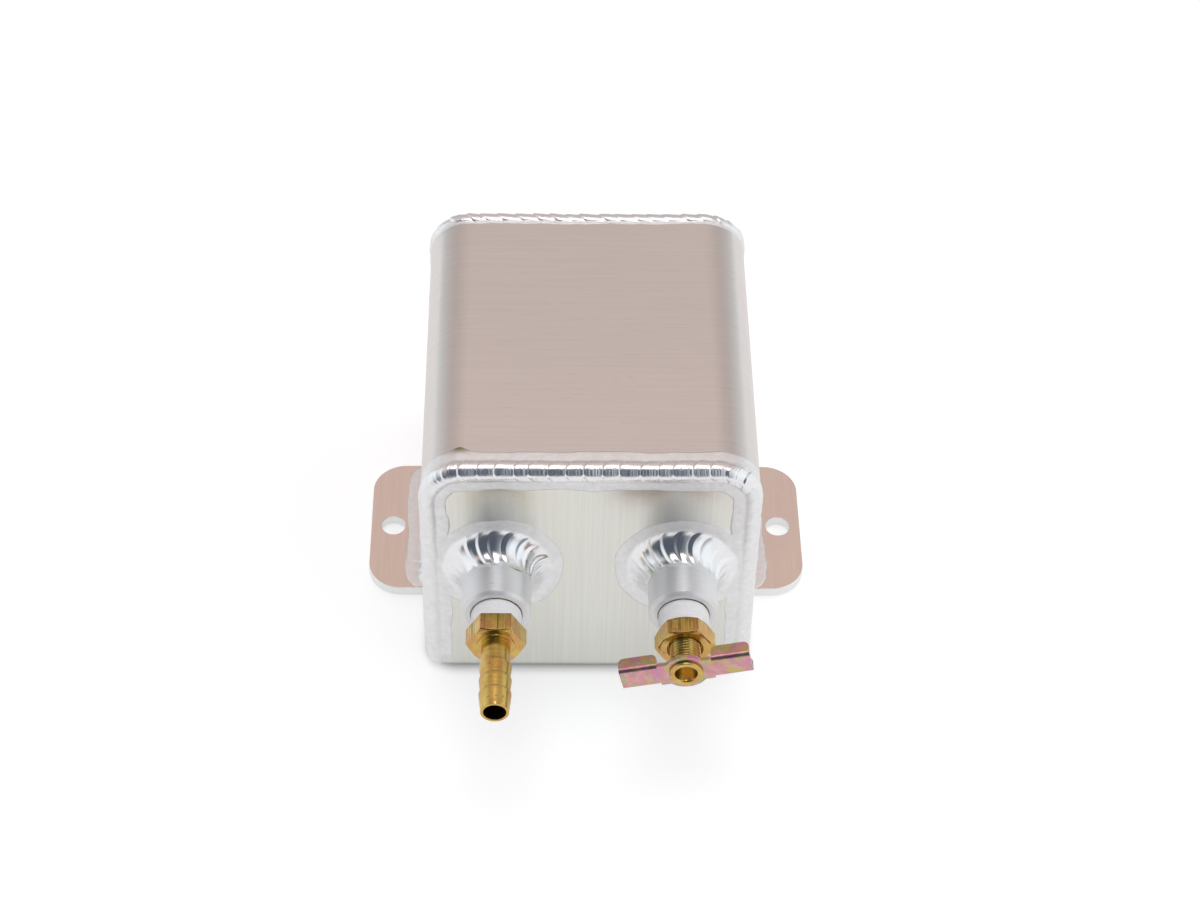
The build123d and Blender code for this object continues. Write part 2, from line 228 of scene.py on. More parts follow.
floor_mesh = bpy.data.meshes.new("table")
corners = [(-1, -1), (1, -1), (1, 1), (-1, 1)]
floor_points = [(x * floor_reach, y * floor_reach, -floor_gap) for x, y in corners]
floor_mesh.from_pydata(floor_points, [], [(0, 1, 2, 3)])
floor = bpy.data.objects.new("table", floor_mesh)
scene.collection.objects.link(floor)
floor_material = bpy.data.materials.new("white_table")
floor_material.use_nodes = True
tree = floor_material.node_tree
tree.nodes.clear()
path = add(tree, "LightPath")
mirrored = calc(tree, "MAXIMUM", path.outputs["Is Glossy Ray"], path.outputs["Is Transmission Ray"])
seen = calc(tree, "MAXIMUM", calc(tree, "MULTIPLY", path.outputs["Is Camera Ray"], floor_glow),
            calc(tree, "MULTIPLY", mirrored, mirrored_glow))
spot = add(tree, "SeparateXYZ", {0: add(tree, "TexCoord").outputs["Object"]})
past = []
for axis, half in (("X", half_width), ("Y", half_length)):
    from_corner = calc(tree, "SUBTRACT", calc(tree, "ABSOLUTE", spot.outputs[axis]), half - shade_corner)
    past.append(calc(tree, "MAXIMUM", from_corner, 0.0))
squares = calc(tree, "MULTIPLY_ADD", past[0], past[0], calc(tree, "MULTIPLY", past[1], past[1]))
outside = calc(tree, "SUBTRACT", calc(tree, "SQRT", squares), shade_corner)
# painted shade: the glow fades out from a few mm outside the tank's outline to a few mm inside it, which
# darkens the floor round the tank's foot
glow_past_painted_shade = soft_step(tree, outside, -shade_inside, shade_outside)
glow = add(tree, "Emission", {"Strength": calc(tree, "MULTIPLY", seen, glow_past_painted_shade)})
paint = add(tree, "BsdfDiffuse", {"Color": floor_colour})
both = add(tree, "AddShader", {0: paint.outputs[0], 1: glow.outputs[0]})
window = calc(tree, "LESS_THAN", outside, -window_inset)
clear = calc(tree, "MAXIMUM", window, add(tree, "NewGeometry").outputs["Backfacing"])
table = add(tree, "MixShader", {0: clear, 1: both.outputs[0], 2: add(tree, "BsdfTransparent").outputs[0]})
add(tree, "OutputMaterial", {"Surface": table.outputs[0]})
floor_mesh.materials.append(floor_material)
print("floor", 2 * floor_reach, "m wide")

# %% [markdown]
# ## Effects that several finishes share
# Grain, clouds and blotches turn up on every metal here, each at its own scale. Each one is a node
# group with named sockets: it is built once and placed in a material with that material's own values.


# %% Build the shared effects
def start_group(name, inputs, outputs):
    """A new shader group with its sockets, and the nodes that carry them."""
    group = bpy.data.node_groups.new(name, "ShaderNodeTree")
    for label, kind, value in inputs:
        socket = group.interface.new_socket(label, in_out="INPUT", socket_type="NodeSocket" + kind)
        socket.default_value = value
    for label, kind in outputs:
        group.interface.new_socket(label, in_out="OUTPUT", socket_type="NodeSocket" + kind)
    return group, group.nodes.new("NodeGroupInput"), group.nodes.new("NodeGroupOutput")


def noise(tree, place, scale, detail, rough=0.55):
    """Fractal noise at a place, about 0.5 on average."""
    inputs = {"Vector": place, "Scale": scale, "Detail": detail, "Roughness": rough}
    return add(tree, "TexNoise", inputs).outputs["Fac"]


def build_grain():
    """Lines drawn out along one direction, as brushing or turning leaves them."""
    sockets = [("Stretch", "Vector", (100, 100, 100)), ("Contrast", "Float", 0.5)]
    group, given, result = start_group("Grain", sockets, [("Line", "Float")])
    place = add(group, "TexCoord").outputs["Object"]
    spread = vector_calc(group, "MULTIPLY", place, given.outputs["Stretch"])
    lines = noise(group, spread, 1.0, 5.0, 0.62)
    swing = calc(group, "MULTIPLY", calc(group, "SUBTRACT", lines, 0.5), given.outputs["Contrast"])
    group.links.new(calc(group, "ADD", swing, 0.5), result.inputs["Line"])
    return group


def build_clouds():
    """Slow changes of tone over a surface."""
    sockets = [("Scale", "Float", 60.0), ("Contrast", "Float", 1.0)]
    group, given, result = start_group("Clouds", sockets, [("Tone", "Float")])
    place = add(group, "TexCoord").outputs["Object"]
    tone = noise(group, place, given.outputs["Scale"], 4.0)
    swing = calc(group, "MULTIPLY", calc(group, "SUBTRACT", tone, 0.5), given.outputs["Contrast"])
    group.links.new(calc(group, "ADD", swing, 0.5), result.inputs["Tone"])
    return group


def build_blotches():
    """Patches with soft ragged edges, such as stains and tints."""
    sockets = [("Scale", "Float", 200.0), ("Cover", "Float", 0.5), ("Softness", "Float", 0.08),
               ("Shift", "Vector", (0, 0, 0))]
    group, given, result = start_group("Blotches", sockets, [("Mask", "Float")])
    place = add(group, "TexCoord").outputs["Object"]
    moved = vector_calc(group, "ADD", place, given.outputs["Shift"])
    field = noise(group, moved, given.outputs["Scale"], 3.0)
    low = calc(group, "SUBTRACT", given.outputs["Cover"], given.outputs["Softness"])
    high = calc(group, "ADD", given.outputs["Cover"], given.outputs["Softness"])
    group.links.new(soft_step(group, field, high, low), result.inputs["Mask"])
    return group


def build_turned():
    """Rings round the axis of the nearer fitting, as a lathe tool leaves them."""
    sockets = [("Fineness", "Float", 3000.0), ("Contrast", "Float", 1.0)]
    group, given, result = start_group("Turned", sockets, [("Line", "Float")])
    place = add(group, "SeparateXYZ", {0: add(group, "TexCoord").outputs["Object"]})
    across = calc(group, "SUBTRACT", calc(group, "ABSOLUTE", place.outputs["X"]), drain_x)
    above = calc(group, "SUBTRACT", place.outputs["Z"], bung_height)
    radius = calc(group, "SQRT", calc(group, "ADD", calc(group, "MULTIPLY", across, across),
                                      calc(group, "MULTIPLY", above, above)))
    slow = calc(group, "MULTIPLY", above, 0.02)
    ring = add(group, "CombineXYZ", {0: radius, 1: place.outputs["Y"], 2: slow})
    lines = noise(group, ring.outputs[0], given.outputs["Fineness"], 3.0)
    swing = calc(group, "MULTIPLY", calc(group, "SUBTRACT", lines, 0.5), given.outputs["Contrast"])
    group.links.new(calc(group, "ADD", swing, 0.5), result.inputs["Line"])
    return group


effects = {"Grain": build_grain(), "Clouds": build_clouds(), "Blotches": build_blotches(),
           "Turned": build_turned()}


def effect(tree, name, **inputs):
    """Place a shared effect in a material and give back its one output."""
    made = tree.nodes.new("ShaderNodeGroup")
    made.node_tree = effects[name]
    for label, value in inputs.items():
        made.inputs[label].default_value = value
    return made.outputs[0]


print("shared effects:", ", ".join(effects))


# %% [markdown]
# ## A base for the metals
# Every metal below is a Principled shader, and all but the bungs are fully metallic. What tells them
# apart is colour, roughness, the direction of the grain and a little bump. `metal` wires what changes
# over the surface and sets the rest on the shader's own sockets.


# %% Write the metal base
def metal(name, colour, roughness, height, bump_depth, anisotropy=0.0, tangent=None, metallic=1.0):
    """A metal from functions that draw colour, roughness, height and tangent in its tree.

    The tangent lies across the grain, because the shine of a brushed face is drawn out that way."""
    material = bpy.data.materials.new(name)
    material.use_nodes = True
    tree = material.node_tree
    tree.nodes.clear()
    shader = add(tree, "BsdfPrincipled", {"Metallic": metallic, "Anisotropic": anisotropy})
    tree.links.new(colour(tree), shader.inputs["Base Color"])
    tree.links.new(roughness(tree), shader.inputs["Roughness"])
    bump = add(tree, "Bump", {"Height": height(tree), "Strength": 1.0, "Distance": bump_depth})
    tree.links.new(bump.outputs[0], shader.inputs["Normal"])
    if tangent is not None:
        tree.links.new(tangent(tree), shader.inputs["Tangent"])
    add(tree, "OutputMaterial", {"Surface": shader.outputs[0]})
    return material


def straight(x, y, z):
    """Tangent that is the same all over."""
    return lambda tree: add(tree, "CombineXYZ", {0: x, 1: y, 2: z}).outputs[0]


def turned_tangent(tree):
    """Along the axis on a turned side, and along the radius on a turned face."""
    place = add(tree, "SeparateXYZ", {0: add(tree, "TexCoord").outputs["Object"]})
    centre = calc(tree, "MULTIPLY", calc(tree, "SIGN", place.outputs["X"]), drain_x)
    across = calc(tree, "SUBTRACT", place.outputs["X"], centre)
    above = calc(tree, "SUBTRACT", place.outputs["Z"], bung_height)
    return add(tree, "CombineXYZ", {0: across, 1: 1 * MM, 2: above}).outputs[0]


def dress(node, material):
    """Give a carried-over node a finish."""
    nodes[node].data.materials.clear()
    nodes[node].data.materials.append(material)


print("metal base ready")

# %% [markdown]
# ## Brushed sheet
# The shell was cut from sheet with a fine brushed face. On the front the grain runs across the tank and
# on round the bends, and on the end plates it runs up and down. The lines are too fine to model, so they
# are noise stretched a hundredfold along the grain, in the tone, the roughness and a slight bump.


# %% Make the sheet finishes
def brushed(name, pale, deep, stretch_fine, stretch_coarse, tangent, shine, edge=None, spread=0.55):
    """Sheet with its grain along one direction, and with paler cut edges if edge is given."""
    def colour(tree):
        line = effect(tree, "Grain", Stretch=stretch_coarse, Contrast=2.0)
        cloud = effect(tree, "Clouds", Scale=22.0, Contrast=1.0)
        tone = calc(tree, "ADD", calc(tree, "MULTIPLY", line, 0.6), calc(tree, "MULTIPLY", cloud, 0.4))
        face = mix(tree, tone, deep, pale)
        if edge is None:
            return face
        normal = add(tree, "SeparateXYZ", {0: add(tree, "NewGeometry").outputs["Normal"]})
        flat = soft_step(tree, calc(tree, "ABSOLUTE", normal.outputs["Z"]), 0.80, 0.97)
        return mix(tree, flat, edge, face)

    def roughness(tree):
        line = effect(tree, "Grain", Stretch=stretch_fine, Contrast=1.0)
        return remap(tree, line, shine - 0.07, shine + 0.07)

    def height(tree):
        return effect(tree, "Grain", Stretch=stretch_fine, Contrast=1.0)

    return metal(name, colour, roughness, height, 0.006 * MM, spread, tangent)


# The pink in the tab colours, and the slight warmth in the front sheet's, is painted reflection of the warm
# wall behind the tank; the metal under it is a near neutral grey.
shell_metal = brushed("brushed_front", rgb(0.775, 0.745, 0.725), rgb(0.68, 0.65, 0.63), (60, 5200, 60),
                      (28, 1500, 28), straight(0.03, 1, 0.05), 0.30)
plate_metal = brushed("brushed_ends", rgb(0.80, 0.795, 0.74), rgb(0.69, 0.685, 0.635), (5200, 60, 60),
                      (1500, 28, 28), straight(1, 0.03, 0.05), 0.24, spread=0.40)
tab_metal = brushed("tab_plate", rgb(0.93, 0.85, 0.80), rgb(0.83, 0.745, 0.695), (4200, 80, 80),
                    (700, 40, 40), straight(1, 0.03, 0.05), 0.24, rgb(0.86, 0.87, 0.87))
dress("front_shell", shell_metal)
dress("back_channel", plate_metal)
print("sheet finishes:", shell_metal.name, plate_metal.name, tab_metal.name)

# %% [markdown]
# ## Weld metal
# A bead freezes in overlapping ripples. Its crest is as bright as a mirror, and the margins, where the
# arc cleaned the sheet, are frosted white. The mesh of each bead carries three values at its points:
# `frost` makes it rougher and paler, `stain` darkens it, and `run` draws fine lines across the bead.


# %% Make the weld finish
def point_value(tree, name):
    """A value stored at the mesh's points."""
    return add(tree, "Attribute", attribute_name=name).outputs["Fac"]


def weld_colour(tree):
    """Bright metal, pale where it is frosted and brown where it is stained."""
    cloud = effect(tree, "Clouds", Scale=330.0, Contrast=1.6)
    bright = mix(tree, cloud, rgb(0.80, 0.81, 0.83), rgb(0.88, 0.89, 0.90))
    mottle = effect(tree, "Clouds", Scale=620.0, Contrast=1.7)
    pale = mix(tree, mottle, rgb(0.81, 0.81, 0.815), rgb(0.93, 0.93, 0.93))
    clean = mix(tree, point_value(tree, "frost"), bright, pale)
    return mix(tree, point_value(tree, "stain"), clean, rgb(0.36, 0.31, 0.19))


def weld_roughness(tree):
    """Nearly a mirror on the crest and dull on the margins."""
    cloud = effect(tree, "Clouds", Scale=500.0, Contrast=1.4)
    bright = remap(tree, cloud, 0.08, 0.18)
    dull = remap(tree, cloud, 0.40, 0.66)
    wide = calc(tree, "SUBTRACT", dull, bright)
    return calc(tree, "MULTIPLY_ADD", point_value(tree, "frost"), wide, bright)


def weld_height(tree):
    """Fine lines across the crest and specks on the margins."""
    inputs = {"W": point_value(tree, "run"), "Scale": 1500.0, "Detail": 3.0}
    lines = add(tree, "TexNoise", inputs, noise_dimensions="1D").outputs["Fac"]
    specks = effect(tree, "Clouds", Scale=1100.0, Contrast=0.6)
    share = remap(tree, point_value(tree, "frost"), 0.0, 0.75)
    apart = calc(tree, "SUBTRACT", specks, lines)
    return calc(tree, "MULTIPLY_ADD", share, apart, lines)


weld_metal = metal("weld_metal", weld_colour, weld_roughness, weld_height, 0.13 * MM)
print("weld finish:", weld_metal.name)

# %% [markdown]
# ## What varies along a seam
# A hand-held torch leaves nothing quite even. `wander` is a smooth seeded random line, `ragged` uses it
# for the edge of a margin, and `plan_ripples` spaces the ripples. A ripple is a sawtooth: it rises
# quickly over a lip and falls away behind it. A crater is the deeper ripple where the torch stopped.


# %% Draw what varies along a seam
ripple_jitter = 0.14
ripple_depth_spread = (0.7, 1.25)
crater_depth = 2.4
crater_lip = 0.62
ripple_fall = 1.7
ragged_waves = ((0.45, 9 * MM), (0.20, 3.2 * MM), (0.07, 1.1 * MM))


def smooth(share):
    """Smooth 0 to 1 rise."""
    share = np.clip(share, 0.0, 1.0)
    return share * share * (3 - 2 * share)


def wander(travel, length, wave, rng):
    """Seeded smooth random line along a seam, about -1 to 1, that repeats after one length."""
    count = max(4, round(length / wave))
    values = rng.uniform(-1, 1, count)
    place = travel / length * count
    index = np.floor(place).astype(int)
    share = smooth(place - index)
    return values[index % count] * (1 - share) + values[(index + 1) % count] * share


def ragged(travel, length, rng):
    """What an uneven edge adds to the width of a margin."""
    return MM * sum(size * wander(travel, length, wave, rng) for size, wave in ragged_waves)


def plan_ripples(ripples, length, rng):
    """Edges, depths and lip shares of the ripples along a seam."""
    count = ripples["count"]
    edges = np.linspace(0, length, count + 1)
    edges[1:-1] += rng.uniform(-ripple_jitter, ripple_jitter, count - 1) * length / count
    depths = ripples["depth"] * rng.uniform(*ripple_depth_spread, count)
    lips = np.full(count, ripples["lip"])
    if "crater" in ripples:
        depths[ripples["crater"]] *= crater_depth
        lips[ripples["crater"]] = crater_lip
    return edges, depths, lips


def ripple_height(travel, edges, depths, lips, way):
    """Height of the overlapping ripples, with the lip at the end that way points to."""
    index = np.clip(np.searchsorted(edges, travel, side="right") - 1, 0, len(depths) - 1)
    share = np.clip((travel - edges[index]) / (edges[index + 1] - edges[index]), 0.0, 1.0)
    if way > 0:
        share = 1 - share
    return depths[index] * smooth(share / lips[index]) * (1 - share ** ripple_fall)


print("margins vary over", [wave / MM for _, wave in ragged_waves], "mm")

# %% [markdown]
# ## From strips to a mesh
# A bead is a grid: strips of points along the seam, side by side across it. The grid closes round
# underneath. A ring also closes along the seam, and other beads get a flat cap at each end.


# %% Make a mesh of strips
def grid_mesh(name, points, closed_along):
    """Mesh of a grid of points: closed across, and closed or capped along."""
    rows, columns = points.shape[:2]
    index = np.arange(rows * columns).reshape(rows, columns)
    first = index if closed_along else index[:-1]
    second = np.roll(index, -1, 0) if closed_along else index[1:]
    quads = np.stack([first, np.roll(first, -1, 1), np.roll(second, -1, 1), second], -1).reshape(-1, 4)
    faces = quads.tolist()
    if not closed_along:
        faces += [index[0][::-1].tolist(), index[-1].tolist()]
    mesh = bpy.data.meshes.new(name)
    mesh.from_pydata(points.reshape(-1, 3).tolist(), [], faces)
    mesh.validate()
    mesh.shade_smooth()
    return mesh


def face_outward(mesh):
    """Turn a closed mesh's faces so that their normals point out."""
    work = bmesh.new()
    work.from_mesh(mesh)
    bmesh.ops.recalc_face_normals(work, faces=work.faces)
    work.to_mesh(mesh)
    work.free()


def bead_object(name, strips, closed):
    """Object of a bead's strips, each with its points and their frost, stain and run."""
    mesh = grid_mesh(name, np.stack([strip[0] for strip in strips], axis=1), closed)
    face_outward(mesh)
    for face in mesh.polygons:
        face.use_smooth = len(face.vertices) == 4
    for place, label in ((1, "frost"), (2, "stain"), (3, "run")):
        values = mesh.attributes.new(label, "FLOAT", "POINT")
        stored = np.stack([strip[place] for strip in strips], axis=1).reshape(-1)
        values.data.foreach_set("value", stored.astype(np.float32))
    mesh.materials.append(weld_metal)
    bead = bpy.data.objects.new(name, mesh)
    scene.collection.objects.link(bead)
    return bead


def stand_in(piece, body, slot, *replaced):
    """Say which body a piece rides on and which nodes it stands for. The slot is not used."""
    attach(piece, body)
    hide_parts(*replaced)


print("mesh helpers: grid_mesh, face_outward, bead_object, stand_in")

# %% [markdown]
# ## One builder for every bead
# `lay_bead` lays the strips along any seam: the first margin, the crest between the two toes, the second
# margin, and then the hidden way back through the root. It needs the corner line, the outward directions
# of the two surfaces, and how far along the seam each point is.


# %% Write the bead builder
bead_lift = 0.04 * MM
bead_bury = 0.12 * MM
leg_wander = 0.05
leg_wave = 4.5 * MM
full_ragged_width = 2 * MM
margin_steps = 8
margin_ripple = 0.16
stain_from = 0.45
stain_over = 0.4
toe_ripple = 0.2
toe_frost_from = 0.80
toe_frost_over = 0.20


def lay_bead(name, seam, legs, sag, margins, ripples, frost, seed, blots=()):
    """Weld bead along a seam, as a closed mesh with values for frost, stain and run at its points.

    seam holds the corner line with its two surface normals and the travel along it. legs and margins are
    for the two surfaces, sag is how far the bead stands over the line between its toes, frost is a value
    per seam point, and a blot is a stain on one margin: surface, travel, reach along, extra width."""
    rng = np.random.default_rng(seed)
    corner, normals = seam["corner"], (seam["normal_a"], seam["normal_b"])
    travel, length, side = seam["travel"], seam["length"], seam["side"]
    bow, way = ripples["bow"], ripples["way"]
    edges, depths, lips = plan_ripples(ripples, length, rng)
    strength = ripples.get("strength", np.ones(len(travel)))
    along = (side * normals[1], side * normals[0])
    taper = seam.get("taper", np.ones(len(travel)))
    reaches = [leg * taper * (1 + leg_wander * wander(travel, length, leg_wave, rng)) for leg in legs]
    widths = [margin + min(1.0, margin / full_ragged_width) * ragged(travel, length, rng)
              for margin in margins]
    stains = [np.zeros(len(travel)), np.zeros(len(travel))]
    for surface, centre, spread, extra in blots:
        near = np.exp(-((travel - centre) / spread) ** 2)
        widths[surface] = widths[surface] + extra * near
        stains[surface] = np.maximum(stains[surface], near)
    toe_a = corner + along[0] * reaches[0][:, None]
    chord = corner + along[1] * reaches[1][:, None] - toe_a
    span = np.linalg.norm(chord, axis=1, keepdims=True)
    chord = chord / span
    rise = normals[0] + normals[1]
    rise = rise - chord * np.sum(rise * chord, axis=1, keepdims=True)
    rise = rise / np.linalg.norm(rise, axis=1, keepdims=True)
    half_angle = 2 * np.arctan(2 * sag * taper[:, None] / span)
    radius = span / (2 * np.sin(half_angle))
    strips = []

    def add_strip(points, frosts, stain, run):
        strips.append((points, np.broadcast_to(frosts, travel.shape), np.broadcast_to(stain, travel.shape),
                       run * ripples["grain"]))

    def on_surface(surface, share):
        return corner + along[surface] * (reaches[surface] + widths[surface] * share)[:, None]

    def margin_strip(surface, share):
        run = travel + bow * (1 + share)
        wave = ripple_height(run, edges, depths, lips, way) * strength
        level = bead_lift * (1 - share ** 3) + margin_ripple * wave * (1 - share)
        place = on_surface(surface, share) + normals[surface] * level[:, None]
        add_strip(place, ripples["edge"] + (1 - ripples["edge"]) * share,
                  stains[surface] * smooth((share - stain_from) / stain_over), run)

    def crest_strip(across):
        angle = half_angle * across
        run = travel + bow * across ** 2
        keep = 1 - across ** 6
        wave = ripple_height(run, edges, depths, lips, way) * strength
        wave = wave * (toe_ripple + (1 - toe_ripple) * keep)
        up = radius * (np.cos(angle) - np.cos(half_angle)) + bead_lift * (1 - keep)
        out = rise * np.cos(angle) + chord * np.sin(angle)
        point = toe_a + chord * (radius * np.sin(angle) + span / 2) + rise * up + out * wave[:, None]
        toe_frost = ripples["edge"] * smooth((abs(across) - toe_frost_from) / toe_frost_over)
        add_strip(point, np.maximum(frost, toe_frost), 0.0, run)

    def hidden_strip(surface, share):
        add_strip(on_surface(surface, share) - normals[surface] * bead_bury, 1.0, 0.0, travel)

    for share in np.linspace(1, 0, margin_steps)[:-1]:
        margin_strip(0, share)
    for share in np.linspace(0, 1, ripples["steps"]):
        crest_strip(2 * share - 1)
    for share in np.linspace(0, 1, margin_steps)[1:]:
        margin_strip(1, share)
    hidden_strip(1, 1)
    hidden_strip(1, 0)
    add_strip(corner - (normals[0] + normals[1]) * seam["root"], 1.0, 0.0, travel)
    hidden_strip(0, 0)
    hidden_strip(0, 1)
    bead = bead_object(name, strips, seam["closed"])
    print(f"{name}: {len(bead.data.polygons)} faces, {ripples['count']} ripples")
    return bead


print("bead margins lie", bead_lift / MM, "mm over the sheet")

# %% [markdown]
# ## End beads
# These two beads close the ends of the tank. Each starts at the back on one side, climbs to the front,
# goes round the bend, crosses the front edge and comes down the other side. The crest over the front
# edge is bright, and the runs down the sides are duller.

# %% Lay the end beads
seam_leg = 4.0 * MM
seam_crown_inset = 0.35 * MM
seam_margin_shell = 3.6 * MM
seam_margin_plate = 3.4 * MM
seam_foot_radius = 5.0 * MM
seam_foot_lift = 0.4 * MM
seam_foot_lean = 0.5
seam_root = 1.6 * MM
seam_ripple = 4.9 * MM
side_ripple = 0.35
side_frost = 0.80
front_rise = 1.6
far_margin = 0.9 * MM


def end_seam(end, step):
    """Corner line of one end, from the back on the left, over the front, to the back on the right."""
    upright = tank_depth - front_bend_radius
    bend = front_bend_radius * math.pi / 2
    level = 2 * (half_width - front_bend_radius)
    length = 2 * upright + 2 * bend + level
    travel = np.linspace(0, length, round(length / step) + 1)
    near = np.minimum(travel, length - travel)
    sign = np.where(travel < length / 2, -1.0, 1.0)
    angle = np.clip((near - upright) / front_bend_radius, 0, math.pi / 2)
    past = np.maximum(near - upright - bend, 0)
    x = half_width - front_bend_radius + front_bend_radius * np.cos(angle) - past
    z = np.maximum(np.minimum(near, upright), seam_foot_lift) + front_bend_radius * np.sin(angle)
    drop = np.clip(1 - z / seam_foot_radius, 0, 1)
    foot = seam_foot_radius * (1 - np.sqrt(1 - drop ** 2))
    y = np.full_like(x, end * half_length) - end * seam_foot_lean * foot
    corner = np.stack([sign * (x - foot), y, z], axis=1)
    normal_a = np.stack([sign * np.cos(angle), np.zeros_like(x), np.sin(angle)], axis=1)
    normal_b = np.tile([0.0, end, 0.0], (len(travel), 1))
    return {"corner": corner, "normal_a": normal_a, "normal_b": normal_b, "travel": travel, "length": length,
            "side": -1.0, "root": seam_root, "closed": False,
            "front": smooth(angle / (math.pi / 2) * front_rise)}


blot_travel = tank_depth - front_bend_radius + 17.5 * MM
for name, node, end, step, margin, dull, blots, seed in (
        ("port_end_bead", "port_end_weld", -1.0, 0.17 * MM, seam_margin_shell, 0.30,
         [(0, blot_travel, 2.4 * MM, 1.6 * MM)], 11),
        ("plain_end_bead", "plain_end_weld", 1.0, 0.26 * MM, far_margin, 0.45, [], 12)):
    seam = end_seam(end, step)
    sag = (seam_leg / 2 - seam_crown_inset) * math.sqrt(2)
    ripples = {"count": round(seam["length"] / seam_ripple), "depth": 0.30 * MM, "lip": 0.15,
               "bow": -2.6 * MM, "way": -1, "steps": 31, "edge": 1.0, "grain": 1.0,
               "strength": side_ripple + (1 - side_ripple) * seam["front"]}
    frost = dull + (side_frost - dull) * (1 - seam["front"])
    bead = lay_bead(name, seam, (seam_leg, seam_leg), sag, (margin, seam_margin_plate), ripples, frost, seed,
                    blots)
    stand_in(bead, "tank", "weld_metal", node)

# %% [markdown]
# ## Bung beads
# Round each bung runs a hollow fillet. A hollow bead turns its brightest part towards the bung, and the
# ripples sweep round it like the blades of a fan. They are strongest at the top, and the crater where the
# welder stopped is on the right.

# %% Lay the bung beads
bung_weld_reach = 6.0 * MM
bung_weld_rise = 7.2 * MM
bung_weld_hollow = 1.0 * MM
bung_margin_plate = 3.2 * MM
bung_margin_bung = 0.9 * MM
start_angle = math.radians(-6)
ring_points = 720
calm_ripple = 0.35
strong_at, strong_over = 108, 52
crater_at, crater_over = 14, 13


def ring_seam(x, count):
    """Root of a bung, once round, anticlockwise as seen from the fittings' end."""
    turn = np.linspace(0, 2 * math.pi, count, endpoint=False)
    angle = turn + start_angle
    radial = np.stack([np.cos(angle), np.zeros(count), np.sin(angle)], axis=1)
    corner = np.array([x, -half_length, bung_height]) + radial * bung_radius
    length = 2 * math.pi * (bung_radius + bung_weld_reach / 2)
    return {"corner": corner, "normal_a": np.tile([0.0, -1.0, 0.0], (count, 1)), "normal_b": radial,
            "travel": turn / (2 * math.pi) * length, "length": length, "side": 1.0, "root": bead_bury,
            "closed": True}


for name, node, x, stain_at, seed in (("inlet_bung_bead", "inlet_bung_weld", inlet_x, 60, 21),
                                      ("drain_bung_bead", "drain_bung_weld", drain_x, None, 22)):
    seam = ring_seam(x, ring_points)
    turned = np.degrees(np.arctan2(seam["normal_b"][:, 2], seam["normal_b"][:, 0]))
    strong = np.exp(-((turned - strong_at) / strong_over) ** 2)
    stop = np.exp(-((turned - crater_at) / crater_over) ** 2)
    ripples = {"count": 20, "depth": 0.34 * MM, "lip": 0.40, "bow": 2.2 * MM, "way": 1, "steps": 31,
               "edge": 1.0, "crater": 1, "grain": 0.15,
               "strength": np.maximum(calm_ripple + (1 - calm_ripple) * strong, stop)}
    low_side = smooth(0.5 - 0.9 * seam["normal_b"][:, 2])
    blots = [] if stain_at is None else [(1, stain_at / 360 * seam["length"], 2.6 * MM, 0.5 * MM)]
    bead = lay_bead(name, seam, (bung_weld_reach, bung_weld_rise), -bung_weld_hollow * math.sqrt(2),
                    (bung_margin_plate, bung_margin_bung), ripples, 0.14 + 0.30 * low_side, seed, blots)
    stand_in(bead, "tank", "weld_metal", node)

# %% [markdown]
# ## Tab beads
# Each tab is held by one short fillet on its upper face. The arc has etched a wide pale band along the
# tab beside it.

# %% Lay the tab beads
tab_low, tab_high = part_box("right_mount_tab")
tab_top = tab_high.z
tab_weld_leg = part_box("right_tab_weld")[1].z - tab_top
tab_bead_short = 1.0 * MM
tab_bead_fade = 4 * MM
tab_bead_end = 0.25
tab_bead_sag = 0.3 * MM
tab_margin_plate = 3.7 * MM
tab_margin_side = 2.4 * MM
tab_ripple = 4.6 * MM


def tab_seam(sign, step):
    """Inside corner between a tab and the side of the tank."""
    length = tab_high.y - tab_low.y - tab_bead_short
    travel = np.linspace(0, length, round(length / step) + 1)
    count = len(travel)
    x = np.full(count, sign * half_width)
    corner = np.stack([x, travel - length / 2, np.full(count, tab_top)], axis=1)
    from_end = np.clip(np.minimum(travel, length - travel) / tab_bead_fade, 0, 1)
    return {"corner": corner, "normal_a": np.tile([0.0, 0.0, 1.0], (count, 1)),
            "normal_b": np.tile([sign, 0.0, 0.0], (count, 1)), "travel": travel, "length": length,
            "side": 1.0, "root": bead_bury, "closed": False,
            "taper": tab_bead_end + (1 - tab_bead_end) * np.sqrt(from_end)}


for name, node, sign, seed in (("left_tab_bead", "left_tab_weld", -1.0, 31),
                               ("right_tab_bead", "right_tab_weld", 1.0, 32)):
    seam = tab_seam(sign, 0.2 * MM)
    ripples = {"count": round(seam["length"] / tab_ripple), "depth": 0.22 * MM, "lip": 0.20, "bow": -1.0 * MM,
               "way": -1, "steps": 19, "edge": 0.6, "grain": 1.0}
    frost = np.full(len(seam["travel"]), 0.5)
    bead = lay_bead(name, seam, (tab_weld_leg, tab_weld_leg), tab_bead_sag,
                    (tab_margin_plate, tab_margin_side), ripples, frost, seed)
    stand_in(bead, "tank", "weld_metal", node)

# %% [markdown]
# ## Long beads
# The sides of the shell meet the back along two straight corners, and a small bead closes each. At its
# ends it curls inwards and closes the corner under the foot of the end bead.

# %% Lay the long beads
long_low, long_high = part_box("right_long_weld")
long_leg = long_high.z - long_low.z
long_end_inset = 1.6 * MM
long_curl_start = 5.4 * MM
long_curl = 3.4 * MM
long_root = 0.8 * MM
long_margin = 1.6 * MM
long_ripple = 3.4 * MM
long_sag = 0.38 * long_leg


